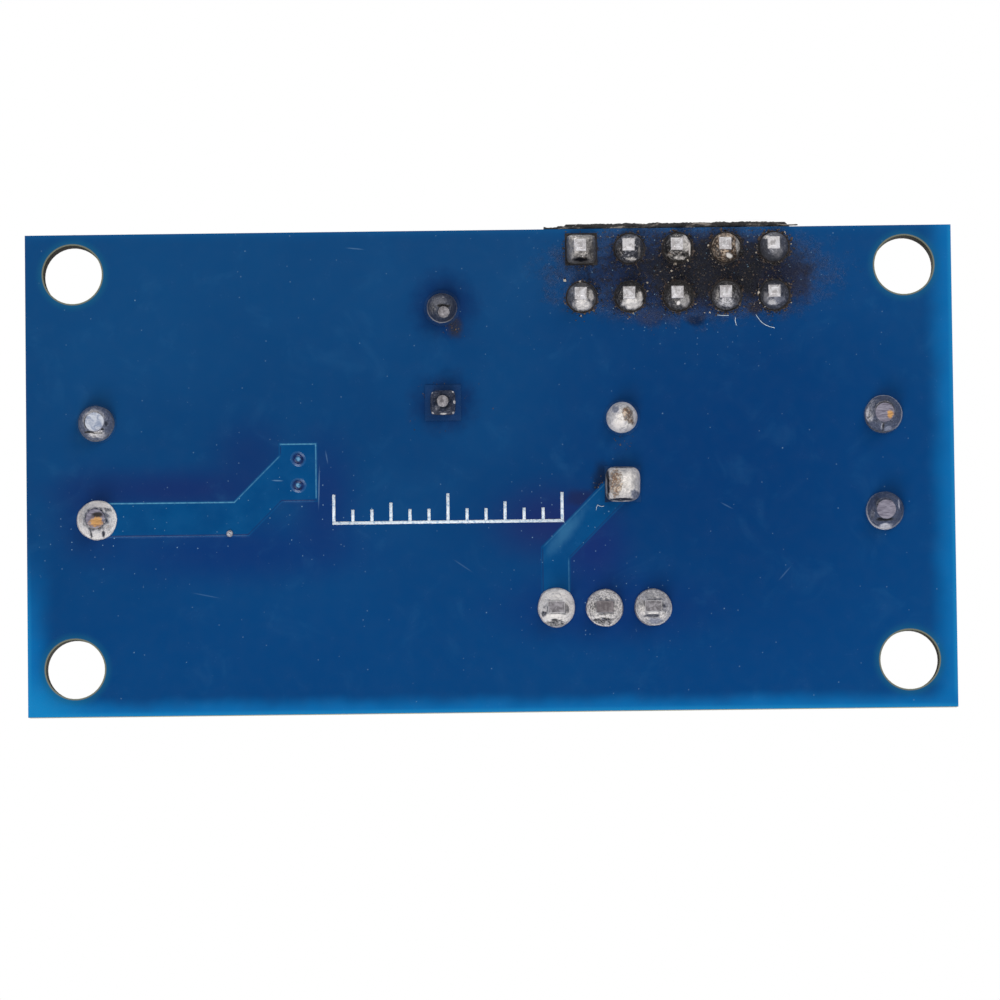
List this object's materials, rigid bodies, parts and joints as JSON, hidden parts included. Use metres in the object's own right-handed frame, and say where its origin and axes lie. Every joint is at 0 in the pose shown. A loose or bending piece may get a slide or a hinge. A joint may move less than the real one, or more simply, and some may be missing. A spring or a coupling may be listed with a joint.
{
  "type": "voltage regulator module",
  "caption": "Small circuit board that steps a supply down through a regulator on a heatsink, with screw terminals at both ends and a pin header for the output.",
  "frame": {"origin": "middle of the four mounting holes, on the solder side of the board", "axes": "+Z out of the component side, +X along the board from the input terminal to the output terminal, +Y towards the edge where the regulator and its heatsink stand"},
  "size_m": [0.0488, 0.0258, 0.0236],
  "materials": {
    "board": "satin blue solder mask on glass-fibre board",
    "masked_track": "copper under blue solder mask",
    "tinned_copper": "tinned copper, satin",
    "solder": "tin solder, bright to grey",
    "terminal_housing": "blue moulded plastic",
    "terminal_contact": "tinned brass",
    "clamp_cage": "zinc-plated steel",
    "clamp_screw": "nickel-plated steel",
    "header_insulator": "black moulded plastic",
    "header_pin": "gold-flashed brass",
    "epoxy": "black moulded epoxy",
    "tab_metal": "tinned copper leadframe",
    "paste": "white thermal paste",
    "heatsink": "drawn aluminium",
    "fastener": "zinc-plated steel",
    "capacitor_can": "drawn aluminium",
    "capacitor_sleeve": "black shrink sleeve with a pale stripe",
    "capacitor_bung": "black rubber",
    "diode_body": "black moulding with a pale band",
    "resistor_body": "black glazed chip",
    "ceramic_body": "tan ceramic",
    "light_base": "white base",
    "light_lens": "clear resin"
  },
  "bodies": {
    "root": {"circuit_board": "board", "input_track": "masked_track", "output_track": "masked_track", "component_side_tracks": "masked_track", "vias": "tinned_copper", "header_pads": "tinned_copper", "input_terminal_pads": "tinned_copper", "output_terminal_pads": "tinned_copper", "large_capacitor_pads": "tinned_copper", "small_capacitor_pads": "tinned_copper", "regulator_pads": "tinned_copper", "surface_pads": "tinned_copper", "header_solder": "solder", "input_terminal_solder": "solder", "output_terminal_solder": "solder", "large_capacitor_solder": "solder", "small_capacitor_solder": "solder", "regulator_solder": "solder", "surface_solder": "solder", "header_insulator": "header_insulator", "header_pins": "header_pin", "regulator_body": "epoxy", "regulator_tab": "tab_metal", "regulator_leads": "tab_metal", "thermal_paste": "paste", "heatsink": "heatsink", "heatsink_screw": "fastener", "heatsink_washer": "fastener", "heatsink_nut": "fastener", "diode_body": "diode_body", "diode_terminals": "tinned_copper", "resistor_body": "resistor_body", "resistor_caps": "tinned_copper", "ceramic_bodies": "ceramic_body", "ceramic_caps": "tinned_copper", "light_base": "light_base", "light_caps": "tinned_copper", "light_lens": "light_lens", "large_capacitor_can": "capacitor_can", "large_capacitor_sleeve": "capacitor_sleeve", "large_capacitor_bung": "capacitor_bung", "large_capacitor_leads": "tinned_copper", "small_capacitor_can": "capacitor_can", "small_capacitor_sleeve": "capacitor_sleeve", "small_capacitor_bung": "capacitor_bung", "small_capacitor_leads": "tinned_copper", "input_terminal_housing": "terminal_housing", "input_terminal_contacts": "terminal_contact", "output_terminal_housing": "terminal_housing", "output_terminal_contacts": "terminal_contact"},
    "input_clamp_screw_1": {"input_clamp_screw_1": "clamp_screw"},
    "input_clamp_cage_1": {"input_clamp_cage_1": "clamp_cage"},
    "input_clamp_screw_2": {"input_clamp_screw_2": "clamp_screw"},
    "input_clamp_cage_2": {"input_clamp_cage_2": "clamp_cage"},
    "output_clamp_screw_1": {"output_clamp_screw_1": "clamp_screw"},
    "output_clamp_cage_1": {"output_clamp_cage_1": "clamp_cage"},
    "output_clamp_screw_2": {"output_clamp_screw_2": "clamp_screw"},
    "output_clamp_cage_2": {"output_clamp_cage_2": "clamp_cage"}
  },
  "joints": [
    {"name": "input_clamp_screw_1_turn", "type": "hinge", "parent": "root", "child": "input_clamp_screw_1", "pos_m": [-0.0203, -0.00251, 0.01], "axis": [0, 0, -1], "range_deg": [0, 1440]},
    {"name": "input_clamp_cage_1_lift", "type": "slide", "parent": "root", "child": "input_clamp_cage_1", "axis": [0, 0, 1], "range_m": [0, 0.0018]},
    {"name": "input_clamp_screw_2_turn", "type": "hinge", "parent": "root", "child": "input_clamp_screw_2", "pos_m": [-0.0203, 0.00257, 0.01], "axis": [0, 0, -1], "range_deg": [0, 1440]},
    {"name": "input_clamp_cage_2_lift", "type": "slide", "parent": "root", "child": "input_clamp_cage_2", "axis": [0, 0, 1], "range_m": [0, 0.0018]},
    {"name": "output_clamp_screw_1_turn", "type": "hinge", "parent": "root", "child": "output_clamp_screw_1", "pos_m": [0.0203, 0.00257, 0.01], "axis": [0, 0, -1], "range_deg": [0, 1440]},
    {"name": "output_clamp_cage_1_lift", "type": "slide", "parent": "root", "child": "output_clamp_cage_1", "axis": [0, 0, 1], "range_m": [0, 0.0018]},
    {"name": "output_clamp_screw_2_turn", "type": "hinge", "parent": "root", "child": "output_clamp_screw_2", "pos_m": [0.0203, -0.00251, 0.01], "axis": [0, 0, -1], "range_deg": [0, 1440]},
    {"name": "output_clamp_cage_2_lift", "type": "slide", "parent": "root", "child": "output_clamp_cage_2", "axis": [0, 0, 1], "range_m": [0, 0.0018]}
  ],
  "couplings": [
    {"joint": "input_clamp_screw_1_turn", "follows": "input_clamp_cage_1_lift", "rad_per_m": 13963},
    {"joint": "input_clamp_screw_2_turn", "follows": "input_clamp_cage_2_lift", "rad_per_m": 13963},
    {"joint": "output_clamp_screw_1_turn", "follows": "output_clamp_cage_1_lift", "rad_per_m": 13963},
    {"joint": "output_clamp_screw_2_turn", "follows": "output_clamp_cage_2_lift", "rad_per_m": 13963}
  ]
}
